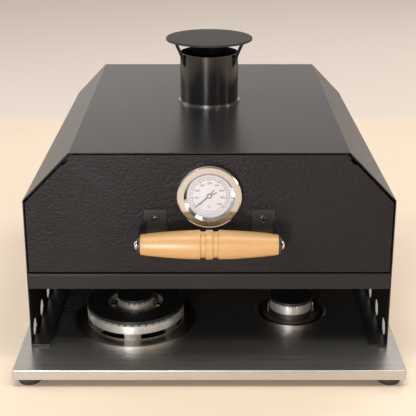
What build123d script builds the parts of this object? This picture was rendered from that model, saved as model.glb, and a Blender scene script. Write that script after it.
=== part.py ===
from build123d import *
import math
import os

# Gas pizza oven on a two-burner base. Millimetres, +Z up.
# The origin is on the floor, under the centre of the base. The door faces -Y.

# Sheet steel and general clearances
oven_sheet = 1.2
base_sheet = 1.2
pan_sheet = 1.0
seam_gap = 0.3
fit_gap = 0.05
press_gap = 0.01
hole_gap = 0.3
bend_radius = 3.0
spare = 1.0
weld = 0.5
wall_cut = 8.0

# Gas base
base_width = 488.0
base_depth = 600.0
base_edge = 13.0
foot_reach = 10.5
foot_radius = 15.0
foot_sole_radius = 13.8
foot_inset = 18.5
foot_screw_radius = 2.0
foot_head_radius = 4.5
foot_head_height = 3.0
foot_head_sunk = 4.0
foot_nut_radius = 5.0
foot_nut_height = 4.0
foot_slot_width = 1.2
foot_slot_depth = 1.2
pan_side_gap = 32.0
pan_end_gap = 45.0
pan_flange = 9.0
pan_ground_gap = 3.0
side_reach = 22.0

plate_top = foot_reach + base_edge
plate_under = plate_top - base_sheet
pan_floor = pan_ground_gap + pan_sheet

# Oven body
oven_width = 460.0
oven_depth = 530.0
oven_setback = 59.0
wall_height = 201.6
chamfer_run = 59.3
chamfer_rise = 62.1
roof_height = 263.7
roof_fall = 10.4
foot_strip_width = 22.3
foot_strip_thickness = 2.8
lip_bottom = 81.1
lip_top = 103.2
lip_return = 8.0
lip_bend = 2.4
tray_flange = 14.0
tray_window_width = 280.0
tray_window_depth = 340.0
tray_window_start = 70.0
tray_window_corner = 20.0
rear_flange = 14.0
rear_ground_gap = 3.6

# Vent holes along the legs and across the rear panel
vent_radius = 11.5
vent_height = 15.1
vent_count = 10
vent_end = 26.0
rear_vent_count = 6
rear_vent_pitch = 66.0
rear_vent_lift = 4.0

# Door, its frame and its hinge
door_gap = 1.8
door_slant_gap = 3.1
door_bottom_gap = 2.4
door_flange = 14.0
frame_setback = 15.0
frame_face = 16.0
frame_flange = 12.0
hinge_drop = 8.0
hinge_rod_radius = 1.5
hinge_rod_length = 306.0
hinge_head_radius = 2.4
hinge_head_length = 1.5
barrel_radius = 3.2
barrel_sink = 0.2
lug_place = 125.0
lug_thickness = 4.0
lug_radius = 2.7
lug_foot_width = 14.0
lug_foot_height = 9.0
lug_foot_thickness = 1.2
lug_side_gap = 0.5
relief_depth = 2.2
relief_below = 4.4
relief_above = 2.6

# Baking stone and its rails
stone_width = 380.0
stone_depth = 400.0
stone_thickness = 14.0
stone_start = 45.0
stone_corner = 6.0
stone_edge = 1.5
rail_height = 8.0
rail_width = 16.0
rail_place = 170.0

# Chimney
flue_radius = 42.5
flue_wall = 1.2
flue_place = 267.2
flue_top = 331.6
flue_below_roof = 8.0
collar_radius = 44.8
collar_height = 2.2
collar_blank_low = 5.0
collar_blank_high = 10.0
cap_radius = 62.7
cap_top = 353.0
cap_rim = 3.2
cap_edge = 0.8
strut_angles = (90, 210, 330)
strut_width = 9.0
strut_thickness = 1.5
strut_foot_low = 314.0
strut_foot_high = 325.0
strut_reach = 56.0
strut_tab = 7.0
strut_rivet_radius = 1.5
strut_head_radius = 3.0
strut_head_height = 1.2
strut_tail_radius = 2.4
strut_tail_height = 1.0

# Rivets that hold the sheets of the oven together
rivet_radius = 1.6
rivet_head_radius = 3.2
rivet_head_height = 1.2
rivet_dome = 0.96
rivet_tail_radius = 2.56
rivet_tail_height = 1.0
rivet_lift = 9.1
tray_rivets = (0.12, 0.5, 0.88)
rear_rivets = (0.2, 0.62, 0.88)
frame_rivets = (0.6, 0.9)

# Door handle
grip_length = 166.8
grip_end_radius = 12.2
grip_middle_radius = 17.75
grip_groove_radius = 15.8
grip_groove_width = 6.6
grip_groove_place = 7.5
grip_bore = 2.6
grip_edge = 1.0
grip_reach = 41.0
grip_height = 161.1
bracket_sheet = 2.0
bracket_inner = 52.6
bracket_outer = 80.2
bracket_top = 190.3
bracket_bottom = 144.0
arm_top = 176.7
arm_bottom = 146.0
arm_end_radius = 13.5
arm_bend_reach = 22.0
bracket_screw_place = 66.4
bracket_screw_height = 178.6
bracket_screw_radius = 2.5
bracket_head_radius = 5.2
bracket_head_height = 2.9
bracket_head_dome = 2.4
bracket_screw_over = 1.5
bracket_nut_flats = 8.0
bracket_nut_height = 4.0
washer_radius = 10.6
washer_thickness = 1.2
grip_head_radius = 6.4
grip_head_height = 3.8
grip_head_dome = 3.2
grip_screw_depth = 26.0
socket_flats = 3.0
socket_depth = 1.6

# Thermometer
gauge_height = 209.5
bezel_radius = 40.0
bezel_depth = 10.4
bezel_inner_radius = 30.6
bezel_throat_radius = 27.8
bezel_edge = 1.6
bezel_knee_in = 0.4
bezel_knee_back = 0.35
bezel_flat_in = 1.3
bezel_inner_edge = 0.5
case_radius = 37.6
case_wall = 1.0
dial_radius = 33.0
dial_thickness = 0.6
dial_depth = 6.4
needle_lift = 0.7
glass_radius = 31.0
glass_thickness = 1.2
glass_face_depth = 3.2
stem_thread_radius = 4.8
stem_collar_radius = 6.3
stem_over = 2.0
probe_radius = 3.0
probe_length = 62.0
probe_point = 2.0
gauge_nut_flats = 14.0
gauge_nut_height = 4.0
needle_length = 22.8
needle_tail = 10.1
needle_fork = 14.0
needle_hub_radius = 3.4
needle_thickness = 0.5
needle_root_width = 2.4
needle_tip_width = 1.2
needle_tail_width = 1.3
needle_start = 130.5
shaft_radius = 1.5
shaft_end = 6.0
shaft_over = 0.2

# Large burner
large_x = -100.7
large_y = 84.0
large_recess_radius = 86.0
large_recess_depth = 2.0
large_recess_slope = 4.0
recess_shift = 0.4
large_cup_radius = 56.0
large_flange_radius = 65.5
large_ring_radius = 65.8
large_ring_inner = 36.8
large_ring_bottom = 7.0
large_ring_top = 21.0
large_cap_thickness = 4.0
large_ring_bevel = 3.6
large_post_count = 7
large_post_width = 22.0
large_post_wall = 5.0
large_port_count = 44
large_port_width = 2.2
crown_radius = 24.4
crown_top = 31.0
crown_wall = 3.2
crown_bevel = 2.2
crown_cap_thickness = 3.4
crown_bore = 11.0
crown_port_count = 20
crown_port_width = 1.8
arm_count = 4
arm_width = 12.0
arm_drop = 4.0
rib_width = 5.0
rib_drop = 7.0
ring_screw_radius = 1.8
ring_screw_place = 30.5
ring_screw_height = 1.4
ring_screw_floor = 4.0
ring_screw_head = 2.9

# Small burner
small_x = 113.5
small_y = 103.5
small_recess_radius = 49.0
small_recess_depth = 4.0
small_recess_slope = 5.0
small_cup_radius = 33.0
small_flange_radius = 40.0
small_crown_radius = 28.6
small_crown_bore = 15.0
small_crown_bevel = 0.6
small_crown_bottom = 5.0
skirt_step = 1.0
small_crown_top = 19.0
small_cap_radius = 30.7
small_port_count = 40
small_port_width = 1.5

# Burner details that both sizes share
cup_wall = 2.0
cup_floor = 1.6
cup_clearance = 1.0
cup_flange_thickness = 1.8
boss_radius = 9.0
boss_top = 15.0
jet_radius = 4.0
jet_flats = 9.0
jet_seat = 11.6
jet_top = 18.0
jet_orifice = 0.6
channel_wall = 5.0
channel_floor = 3.5
port_depth = 3.4
cap_overhang = 0.5
cap_round = 1.2
cap_rim_wall = 1.4
cap_rim_depth = 2.0
electrode_radius = 1.7
electrode_tip_radius = 0.9
electrode_body_height = 8.0
electrode_tip_height = 5.5
electrode_gap = 0.5
sensor_collar_height = 3.0
sensor_radius = 1.3
electrode_angle = 60.0

# Gas pipes, valves and knobs
inlet_from_rear = 150.0
rail_radius = 4.0
rail_bore = 3.0
rail_in_valve = 6.0
rail_z = 17.0
rail_bend = 12.0
stub_flats = 11.0
stub_collar = 6.0
stub_insert = 12.0
feed_radius = 3.0
feed_bore = 2.0
feed_z = 9.0
feed_bend = 14.0
small_knob_from_rear = 270.0
large_knob_from_rear = 190.0
valve_length = 25.0
valve_pan_gap = 2.0
valve_half_width = 9.0
valve_top = 21.8
valve_edge = 1.0
spindle_z = 15.5
spindle_radius = 2.5
spindle_flat = 1.5
spindle_in_valve = 11.0
feed_in_valve = 5.5
feed_socket = 7.0
feed_stop = 4.5
knob_radius = 11.0
knob_gap = 2.0
knob_disc = 6.0
knob_bar_width = 8.0
knob_wall = 3.0
knob_edge = 1.2
knob_inset = 1.0
knob_bar_edge = 3.4
pointer_width = 1.2
pointer_height = 0.5

# Places worked out from the sizes above
half_base = base_width / 2
half_depth = base_depth / 2
oven_front = oven_setback - half_depth
oven_rear = oven_front + oven_depth
pan_half_x = half_base - pan_side_gap
pan_half_y = half_depth - pan_end_gap
inlet_y = half_depth - inlet_from_rear
small_knob_y = half_depth - small_knob_from_rear
large_knob_y = half_depth - large_knob_from_rear
valve_front = pan_half_x - pan_sheet - valve_pan_gap
valve_back = valve_front - valve_length
rail_x = valve_back + rail_in_valve
spindle_back = valve_front - spindle_in_valve
small_feed_x = valve_front - feed_in_valve
door_top = roof_height - oven_sheet - door_gap
door_bottom = lip_top + door_bottom_gap
hinge_y = oven_front + oven_sheet + barrel_radius - barrel_sink
hinge_z = plate_top + door_top - hinge_drop
flue_y = oven_front + flue_place
liner_inset = oven_sheet + seam_gap
door_inset = oven_sheet + door_gap
door_slant = oven_sheet + door_slant_gap
tray_half = oven_width / 2 - liner_inset
tray_floor = lip_bottom + oven_sheet
gauge_z = plate_top + gauge_height
grip_y = oven_front - grip_reach
grip_z = plate_top + grip_height
arm_outer = grip_length / 2 + bracket_sheet
large_centre_y = oven_front + large_y
small_centre_y = oven_front + small_y
cup_bottom = pan_floor + cup_clearance
knob_end = base_width / 2 + side_reach

UP = (Align.CENTER, Align.CENTER, Align.MIN)


def block(x0, x1, y0, y1, z0, z1):
    """Box between two corners."""
    middle = Pos((x0 + x1) / 2, (y0 + y1) / 2, (z0 + z1) / 2)
    return middle * Box(abs(x1 - x0), abs(y1 - y0), abs(z1 - z0))


def upright(radius, x, y, z0, z1):
    """Vertical round bar."""
    return Pos(x, y, z0) * Cylinder(radius, z1 - z0, align=UP)


def bar_x(radius, x0, x1, y, z):
    """Round bar along X, from x0 to the larger x1."""
    return Pos(x0, y, z) * Rot(0, 90, 0) * Cylinder(radius, x1 - x0, align=UP)


def bar_y(radius, x, y0, y1, z):
    """Round bar along Y, from y0 to the larger y1."""
    return Pos(x, y0, z) * Rot(-90, 0, 0) * Cylinder(radius, y1 - y0, align=UP)


def turned(points, x=0.0, y=0.0):
    """Solid turned about a vertical axis from a radius and height outline."""
    outline = Plane.XZ * make_face(Polyline(*points, close=True))
    return Pos(x, y, 0) * revolve(outline, Axis.Z, 360)


def prism_x(points, x0, x1):
    """Straight solid along X from an outline of Y and Z."""
    outline = Plane.YZ * make_face(Polyline(*points, close=True))
    return Pos(x0, 0, 0) * extrude(outline, amount=x1 - x0, dir=(1, 0, 0))


def prism_y(points, y0, y1):
    """Straight solid along Y from an outline of X and Z."""
    outline = Plane.XZ * make_face(Polyline(*points, close=True))
    return Pos(0, y0, 0) * extrude(outline, amount=y1 - y0, dir=(0, 1, 0))


def hexagon_y(flats, x, y0, y1, z):
    """Six-sided bar along Y."""
    side = RegularPolygon(flats / 2, 6, major_radius=False)
    return Pos(x, y0, z) * Rot(-90, 0, 0) * extrude(side, amount=y1 - y0)


def merged(shapes):
    """One solid from several that touch or overlap."""
    whole = shapes[0]
    for shape in shapes[1:]:
        whole = whole + shape
    return whole


def both_sides(shape):
    """A solid and its mirror image across the middle of the oven."""
    return [shape, mirror(shape, about=Plane.YZ)]


def save(name, solids):
    """Write one node, which may hold several equal solids."""
    shape = solids if not isinstance(solids, list) else Compound(children=solids)
    export_step(shape, f"parts/{name}.step")


def roof_z(y, inset=0.0):
    """Height of the sloping roof, moved in by inset."""
    slope = roof_fall / oven_depth
    drop = inset * math.hypot(1, slope)
    return plate_top + roof_height - slope * (y - oven_front) - drop


def above_roof(inset):
    """Everything over the roof plane."""
    far = oven_depth
    y0 = oven_front - far
    y1 = oven_rear + far
    high = plate_top + 2 * roof_height
    outline = [(y0, roof_z(y0, inset)), (y1, roof_z(y1, inset)), (y1, high), (y0, high)]
    return prism_x(outline, -oven_width, oven_width)


def hood_volume(inset, y0, y1, z0, slant_inset=None):
    """Space inside the bent hood, with its walls moved in by inset."""
    cut = inset if slant_inset is None else slant_inset
    half = oven_width / 2 - inset
    slant = math.hypot(chamfer_run, chamfer_rise)
    corner_z = plate_top + wall_height + (inset * chamfer_rise - cut * slant) / chamfer_run
    over = roof_height + chamfer_rise / 4
    lean = (cut * slant + (over - wall_height) * chamfer_run) / chamfer_rise
    top_x = oven_width / 2 - lean
    top_z = plate_top + over
    right = [(half, z0), (half, corner_z), (top_x, top_z)]
    left = [(-x, z) for x, z in reversed(right)]
    volume = prism_y(right + left, y0, y1) - above_roof(inset)
    along = [e for e in volume.edges() if abs(e.tangent_at(0.5).Y) > 0.9]
    bends = [e for e in along if e.center().Z > z0 + spare]
    return fillet(bends, max(bend_radius - inset, seam_gap))


def hood_band(inset, wall, y0, y1, z0):
    """Strip that follows the inside of the hood."""
    reach = y1 - y0
    inner = hood_volume(inset + wall, y0 - reach, y1 + reach, z0 - reach)
    return hood_volume(inset, y0, y1, z0) - inner


def rivet_spots():
    """Side rivets as places along Y and heights: tray, rear panel and door frame."""
    tray = [(oven_front + oven_depth * share, lip_bottom + rivet_lift) for share in tray_rivets]
    rear_y = oven_rear - rear_flange / 2
    rear = [(rear_y, wall_height * share) for share in rear_rivets]
    frame_y = oven_front + frame_setback + oven_sheet + frame_flange / 2
    frame = [(frame_y, wall_height * share) for share in frame_rivets]
    return [(y, plate_top + z) for y, z in tray + rear + frame]


def rivet_holes():
    """Bars that cut the side rivet holes in both walls."""
    reach = oven_width / 2 + spare
    bars = [bar_x(rivet_radius + fit_gap, reach - wall_cut, reach, y, z) for y, z in rivet_spots()]
    return [b for bar in bars for b in both_sides(bar)]


def make_base_plate():
    half_x = base_width / 2
    half_y = base_depth / 2
    plate = block(-half_x, half_x, -half_y, half_y, foot_reach, plate_top)
    corners = plate.edges().filter_by(Axis.Z)
    plate = fillet(corners, bend_radius)
    rim = plate.faces().sort_by(Axis.Z)[-1].edges()
    plate = fillet(rim, base_sheet)
    inner_x = half_x - base_sheet
    inner_y = half_y - base_sheet
    hollow = block(-inner_x, inner_x, -inner_y, inner_y, 0, plate_under)
    hollow = fillet(hollow.edges().filter_by(Axis.Z), bend_radius - base_sheet)
    plate = plate - hollow
    large_recess = (large_recess_radius, large_recess_depth, large_recess_slope)
    small_recess = (small_recess_radius, small_recess_depth, small_recess_slope)
    burners = [
        (large_x, large_centre_y, large_recess, large_cup_radius),
        (small_x, small_centre_y, small_recess, small_cup_radius),
    ]
    for x, y, (radius, depth, slope), cup in burners:
        hole = cup + hole_gap
        low = plate_top - depth
        outline = [
            (radius + spare, plate_top),
            (radius, plate_top),
            (radius - slope, low),
            (hole, low),
            (hole, low - base_sheet),
            (radius - slope - recess_shift, low - base_sheet),
            (radius - recess_shift, plate_under),
            (radius + spare, plate_under),
        ]
        plate = plate - upright(radius + weld, x, y, foot_reach, plate_top + spare)
        plate = plate + turned(outline, x, y)
    return plate - side_holes(half_x)


def side_holes(wall_x):
    """Cutters for the inlet pipe on the left and the tap spindles on the right."""
    inner = wall_x - wall_cut
    outer = wall_x + spare
    holes = [bar_x(rail_radius + hole_gap, -outer, -inner, inlet_y, rail_z)]
    for y in (small_knob_y, large_knob_y):
        holes.append(bar_x(spindle_radius + 2 * hole_gap, inner, outer, y, spindle_z))
    return holes


def make_bottom_pan():
    half_x = pan_half_x
    half_y = pan_half_y
    pan = block(-half_x, half_x, -half_y, half_y, pan_ground_gap, plate_under)
    lid_x = half_x + pan_flange
    lid_y = half_y + pan_flange
    pan = pan + block(-lid_x, lid_x, -lid_y, lid_y, plate_under - pan_sheet, plate_under)
    inner_x = half_x - pan_sheet
    inner_y = half_y - pan_sheet
    pan = pan - block(-inner_x, inner_x, -inner_y, inner_y, pan_floor, plate_under + spare)
    return pan - side_holes(half_x)


def foot_places():
    x = base_width / 2 - foot_inset
    y = base_depth / 2 - foot_inset
    return [(-x, -y), (x, -y), (-x, y), (x, y)]


def make_rubber_feet():
    head_room = foot_head_radius + 2 * hole_gap
    nut_room = foot_nut_radius + hole_gap
    shoulder = foot_head_sunk + foot_head_height
    nut_low = plate_under - foot_nut_height
    bore = foot_screw_radius + fit_gap
    outline = [
        (head_room, 0),
        (foot_sole_radius, 0),
        (foot_radius, foot_reach / 3),
        (foot_radius, plate_under),
        (nut_room, plate_under),
        (nut_room, nut_low),
        (bore, nut_low),
        (bore, shoulder),
        (head_room, shoulder),
    ]
    return [turned(outline, x, y) for x, y in foot_places()]


def make_foot_screws():
    screws = []
    for x, y in foot_places():
        head_top = foot_head_sunk + foot_head_height
        head = upright(foot_head_radius, x, y, foot_head_sunk, head_top)
        shank = upright(foot_screw_radius, x, y, foot_head_sunk, plate_under - fit_gap)
        half = foot_slot_width / 2
        slot_top = foot_head_sunk + foot_slot_depth
        slot = block(x - foot_head_radius, x + foot_head_radius, y - half, y + half, 0, slot_top)
        screws.append(head + shank - slot)
    return screws


def make_foot_nuts():
    low = plate_under - foot_nut_height
    nuts = []
    for x, y in foot_places():
        nut = upright(foot_nut_radius, x, y, low, plate_under)
        nuts.append(nut - upright(foot_screw_radius + fit_gap, x, y, low - spare, plate_under + spare))
    return nuts


def pipe(points, bend, radius, bore):
    """Bent round pipe along a path of straight runs."""
    path = FilletPolyline(*points, radius=bend) if len(points) > 2 else Line(*points)
    start = Plane(origin=path @ 0, z_dir=path % 0)
    return sweep(start * Circle(radius), path=path) - sweep(start * Circle(bore), path=path)


def make_inlet_stub():
    """Hexagon with a spigot outside the base and a smaller one in the rail."""
    edge = -base_width / 2
    spigot = bar_x(rail_radius, -knob_end, edge, inlet_y, rail_z)
    side = RegularPolygon(stub_flats / 2, 6, major_radius=False)
    collar = Pos(edge - stub_collar, inlet_y, rail_z) * Rot(0, 90, 0) * extrude(side, amount=stub_collar)
    plug = bar_x(rail_bore - fit_gap, edge, edge + stub_insert, inlet_y, rail_z)
    bore = bar_x(feed_bore, -knob_end - spare, edge + stub_insert + spare, inlet_y, rail_z)
    return spigot + collar + plug - bore


def make_inlet_pipe():
    end_y = small_knob_y - valve_half_width - rail_radius
    start = (-base_width / 2, inlet_y, rail_z)
    corner = (rail_x, inlet_y, rail_z)
    return pipe([start, corner, (rail_x, end_y, rail_z)], rail_bend, rail_radius, rail_bore)


def make_rail_plug():
    end_y = small_knob_y - valve_half_width - rail_radius
    stopper = bar_y(rail_bore - fit_gap, rail_x, end_y, end_y + rail_radius, rail_z)
    return stopper + bar_y(rail_radius, rail_x, end_y - cup_floor, end_y, rail_z)


def make_valve(y, feed_cut):
    """Brass tap body: the rail runs through it and the spindle turns in its nose."""
    half = valve_half_width
    body = block(valve_back, valve_front, y - half, y + half, pan_floor, valve_top)
    body = chamfer(body.edges().filter_by(Axis.X), valve_edge)
    body = body - bar_y(rail_radius + fit_gap, rail_x, y - 2 * half, y + 2 * half, rail_z)
    nose = bar_x(spindle_radius + fit_gap, spindle_back - fit_gap, valve_front + spare, y, spindle_z)
    return body - nose - feed_cut


def make_large_valve():
    end = valve_back + feed_socket
    socket = bar_x(feed_radius + fit_gap, valve_back - spare, end, large_knob_y, feed_z)
    return make_valve(large_knob_y, socket)


def make_small_valve():
    face = small_knob_y - valve_half_width
    socket = bar_y(feed_radius + fit_gap, small_feed_x, face - spare, face + feed_socket, feed_z)
    return make_valve(small_knob_y, socket)


def make_large_feed_pipe():
    start = (valve_back + feed_socket, large_knob_y, feed_z)
    corner = (large_x, large_knob_y, feed_z)
    end = (large_x, large_centre_y + feed_stop, feed_z)
    return pipe([start, corner, end], feed_bend, feed_radius, feed_bore)


def make_small_feed_pipe():
    start_y = small_knob_y - valve_half_width + feed_socket
    route = [
        (small_feed_x, start_y, feed_z),
        (small_feed_x, small_centre_y, feed_z),
        (small_x + feed_stop, small_centre_y, feed_z),
    ]
    return pipe(route, feed_bend, feed_radius, feed_bore)


def make_burner_jets():
    jets = []
    for x, y in ((large_x, large_centre_y), (small_x, small_centre_y)):
        stem = upright(jet_radius - fit_gap, x, y, jet_seat, boss_top)
        side = RegularPolygon(jet_flats / 2, 6, major_radius=False)
        head = Pos(x, y, boss_top) * extrude(side, amount=jet_top - boss_top)
        jets.append(stem + head - upright(jet_orifice, x, y, jet_seat - spare, jet_top + spare))
    return jets


def make_spindle(y):
    """Tap spindle with a flat for the knob."""
    end = knob_end - knob_wall
    rod = bar_x(spindle_radius, spindle_back, end, y, spindle_z)
    flat_z = spindle_z + spindle_flat
    start = base_width / 2 + knob_gap
    half = 2 * spindle_radius
    return rod - block(start, end + spare, y - half, y + half, flat_z, flat_z + half)


def make_knob(y):
    """Fluted disc with a finger bar and a raised pointer line."""
    back = base_width / 2 + knob_gap
    disc = bar_x(knob_radius, back, back + knob_disc, y, spindle_z)
    rim = disc.edges().filter_by(GeomType.CIRCLE).sort_by(Axis.X)[-1]
    disc = fillet(rim, knob_edge)
    half = knob_bar_width / 2
    tall = knob_radius - knob_inset
    low = spindle_z - tall
    high = spindle_z + tall
    face = knob_end - pointer_height
    grip = block(back + spare, face, y - half, y + half, low, high)
    grip = fillet(grip.edges().filter_by(Axis.X), knob_bar_edge)
    thin = pointer_width / 2
    line = block(face - spare, knob_end, y - thin, y + thin, spindle_z, high)
    bore = bar_x(spindle_radius + fit_gap, back - spare, knob_end - knob_wall, y, spindle_z)
    flat_z = spindle_z + spindle_flat + fit_gap
    key = block(back, knob_end - knob_wall, y - half, y + half, flat_z, flat_z + spindle_radius)
    return disc + grip + line - (bore - key)


def burner_cup(x, y, radius, flange, depth):
    """Cast cup that hangs in the plate, with a boss for the jet."""
    seat = plate_top - depth
    lip = seat + cup_flange_thickness
    outline = [
        (0, cup_bottom),
        (radius, cup_bottom),
        (radius, seat),
        (flange, seat),
        (flange, lip),
        (radius - cup_wall, lip),
        (radius - cup_wall, cup_bottom + cup_floor),
        (boss_radius, cup_bottom + cup_floor),
        (boss_radius, boss_top),
        (0, boss_top),
    ]
    jet_hole = upright(jet_radius, x, y, jet_seat, boss_top + spare)
    throat = upright(feed_bore, x, y, feed_z, jet_seat + spare)
    return turned(outline, x, y) - jet_hole - throat


def make_large_burner_cup():
    """Cast cup with a crown of posts that hold the burner ring up."""
    reach = large_centre_y + large_flange_radius
    cup = burner_cup(large_x, large_centre_y, large_cup_radius, large_flange_radius, large_recess_depth)
    cup = cup - bar_y(feed_radius + fit_gap, large_x, large_centre_y + feed_stop, reach, feed_z)
    cup = cup - bar_y(feed_bore, large_x, large_centre_y, reach, feed_z)
    low = plate_top - large_recess_depth + cup_flange_thickness - weld
    high = plate_top + large_ring_bottom
    outer = large_flange_radius
    wall = upright(outer, 0, 0, low, high)
    wall = wall - upright(outer - large_post_wall, 0, 0, low - spare, high + spare)
    half = large_post_width / 2
    posts = []
    for i in range(large_post_count):
        angle = 360 * i / large_post_count - 90
        arm = block(0, 2 * outer, -half, half, low, high)
        posts.append(wall & (Rot(0, 0, angle) * arm))
    for post in posts:
        cup = cup + Pos(large_x, large_centre_y, 0) * post
    return cup


def channelled(inner, outer, low, high, wall, bevel):
    """Cast ring with a bevelled outer edge and a gas channel open at the top."""
    profile = [(inner, low), (outer, low), (outer, high - bevel), (outer - bevel, high), (inner, high)]
    floor = low + channel_floor
    left = inner + wall
    right = outer - wall
    over = high + spare
    return turned(profile) - turned([(left, floor), (right, floor), (right, over), (left, over)])


def notched(ring, count, width, r0, r1, high):
    """Ring with evenly spaced flame ports cut across its wall."""
    cutters = []
    for i in range(count):
        notch = block(r0 - spare, r1 + spare, -width / 2, width / 2, high - port_depth, high + spare)
        cutters.append(Rot(0, 0, 360 * i / count) * notch)
    return ring - cutters


def make_large_burner_ring():
    low = plate_top + large_ring_bottom
    high = plate_top + large_ring_top
    peak = plate_top + crown_top
    outer = large_ring_radius
    inner = large_ring_inner
    ring = channelled(inner, outer, low, high, channel_wall, large_ring_bevel)
    ring = notched(ring, large_port_count, large_port_width, outer - channel_wall, outer, high)
    ring = notched(ring, crown_port_count, crown_port_width, inner, inner + channel_wall, high)
    crown = channelled(crown_bore, crown_radius, low, peak, crown_wall, crown_bevel)
    bore = crown_radius - crown_wall
    crown = notched(crown, crown_port_count, crown_port_width, bore, crown_radius, peak)
    arms = []
    for i in range(2 * arm_count):
        wide = i % 2 == 0
        half = (arm_width if wide else rib_width) / 2
        top = high - (arm_drop if wide else rib_drop)
        arm = block(crown_radius - crown_wall / 2, inner + channel_wall / 2, -half, half, low, top)
        arms.append(Rot(0, 0, 180 * i / arm_count) * arm)
    whole = merged([ring, crown] + arms)
    for screw in both_sides(upright(ring_screw_radius, ring_screw_place, 0, low + ring_screw_floor, high)):
        whole = whole - screw
    return Pos(large_x, large_centre_y, 0) * whole


def make_ring_screws():
    low = plate_top + large_ring_bottom + ring_screw_floor
    seat = plate_top + large_ring_top - arm_drop
    screws = []
    for side in (-1, 1):
        x = large_x + side * ring_screw_place
        shank = upright(ring_screw_radius - fit_gap, x, large_centre_y, low, seat)
        head = upright(ring_screw_head, x, large_centre_y, seat, seat + ring_screw_height)
        screws.append(shank + head)
    return screws


def rounded_cap(x, y, radius, inner, low, thickness, rim_radius):
    """Enamelled burner cap with eased edges and a locating rim below."""
    disc = upright(radius, 0, 0, low, low + thickness)
    if inner > 0:
        disc = disc - upright(inner, 0, 0, low - spare, low + thickness + spare)
    top = disc.faces().sort_by(Axis.Z)[-1].edges()
    disc = fillet(top, cap_round)
    rim = turned([
        (rim_radius, low - cap_rim_depth),
        (rim_radius + cap_rim_wall, low - cap_rim_depth),
        (rim_radius + cap_rim_wall, low + weld),
        (rim_radius, low + weld),
    ])
    return Pos(x, y, 0) * (disc + rim)


def make_large_ring_cap():
    low = plate_top + large_ring_top
    rim = large_ring_inner + channel_wall + cap_overhang
    outer = large_ring_radius + cap_overhang
    inner = large_ring_inner + cap_overhang
    return rounded_cap(large_x, large_centre_y, outer, inner, low, large_cap_thickness, rim)


def make_large_inner_cap():
    low = plate_top + crown_top
    rim = crown_bore + crown_wall + cap_overhang
    radius = crown_radius + cap_overhang
    return rounded_cap(large_x, large_centre_y, radius, 0, low, crown_cap_thickness, rim)


def make_small_burner_cup():
    """Cast cup with a skirt that holds the crown up."""
    reach = small_x + small_flange_radius
    cup = burner_cup(small_x, small_centre_y, small_cup_radius, small_flange_radius, small_recess_depth)
    cup = cup - bar_x(feed_radius + fit_gap, small_x + feed_stop, reach, small_centre_y, feed_z)
    cup = cup - bar_x(feed_bore, small_x, reach, small_centre_y, feed_z)
    seat = plate_top - small_recess_depth
    lip = seat + cup_flange_thickness
    high = plate_top + small_crown_bottom
    inner = small_crown_radius - channel_wall
    outer = small_crown_radius - skirt_step
    web = small_cup_radius - cup_wall + weld
    skirt = [(inner, seat), (web, seat), (web, lip), (outer, lip), (outer, high), (inner, high)]
    return cup + turned(skirt, small_x, small_centre_y)


def make_small_burner_crown():
    low = plate_top + small_crown_bottom
    high = plate_top + small_crown_top
    outer = small_crown_radius
    crown = channelled(small_crown_bore, outer, low, high, crown_wall, small_crown_bevel)
    crown = notched(crown, small_port_count, small_port_width, outer - crown_wall, outer, high)
    return Pos(small_x, small_centre_y, 0) * crown


def make_small_burner_cap():
    low = plate_top + small_crown_top
    rim = small_crown_bore + crown_wall + cap_overhang
    return rounded_cap(small_x, small_centre_y, small_cap_radius, 0, low, large_cap_thickness, rim)


def electrode(x, y, low):
    """Ceramic rod with a steel tip."""
    middle = low + electrode_body_height
    rod = upright(electrode_radius, x, y, low, middle)
    return rod + upright(electrode_tip_radius, x, y, low, middle + electrode_tip_height)


def electrode_seats():
    """Foot of the electrode of each burner, and of its flame sensor."""
    large_r = large_ring_radius + electrode_gap + electrode_radius
    small_r = small_crown_radius + electrode_gap + electrode_radius
    large_low = plate_top - large_recess_depth
    small_low = plate_top - small_recess_depth + cup_flange_thickness
    across = large_r * math.cos(math.radians(electrode_angle))
    back = large_centre_y + large_r * math.sin(math.radians(electrode_angle))
    large_spots = [(large_x + side * across, back, large_low) for side in (1, -1)]
    small_spots = [(small_x + side * small_r, small_centre_y, small_low) for side in (-1, 1)]
    return large_spots, small_spots


def make_igniters():
    large_spots, small_spots = electrode_seats()
    return [electrode(*large_spots[0]), electrode(*small_spots[0])]


def make_flame_sensors():
    large_spots, small_spots = electrode_seats()
    height = electrode_body_height + electrode_tip_height
    sensors = []
    for x, y, low in (large_spots[1], small_spots[1]):
        collar = upright(electrode_radius, x, y, low, low + sensor_collar_height)
        sensors.append(collar + upright(sensor_radius, x, y, low, low + height))
    return sensors


def make_oven_shell():
    """Bent hood that is the roof, the chamfers, the side walls and the legs."""
    shell = hood_band(0, oven_sheet, oven_front, oven_rear, plate_top)
    edge = oven_width / 2
    pitch = (oven_depth - 2 * vent_end) / (vent_count - 1)
    cuts = []
    for i in range(vent_count):
        y = oven_front + vent_end + pitch * i
        cuts += both_sides(bar_x(vent_radius, edge - wall_cut, edge + spare, y, plate_top + vent_height))
    flue = upright(flue_radius + hole_gap, 0, flue_y, plate_top + wall_height, plate_top + cap_top)
    return shell - cuts - rivet_holes() - flue


def make_foot_strips():
    """Flat bars along the bottom edges of both walls."""
    outer = oven_width / 2 - oven_sheet
    inner = outer - foot_strip_width
    top = plate_top + foot_strip_thickness
    return both_sides(block(inner, outer, oven_front, oven_rear, plate_top, top))


def make_rear_band():
    """Strip inside the hood that carries the rear panel."""
    low = plate_top + rear_ground_gap
    start = oven_rear - rear_flange
    return hood_band(liner_inset, oven_sheet, start, oven_rear - oven_sheet, low) - rivet_holes()


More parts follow.
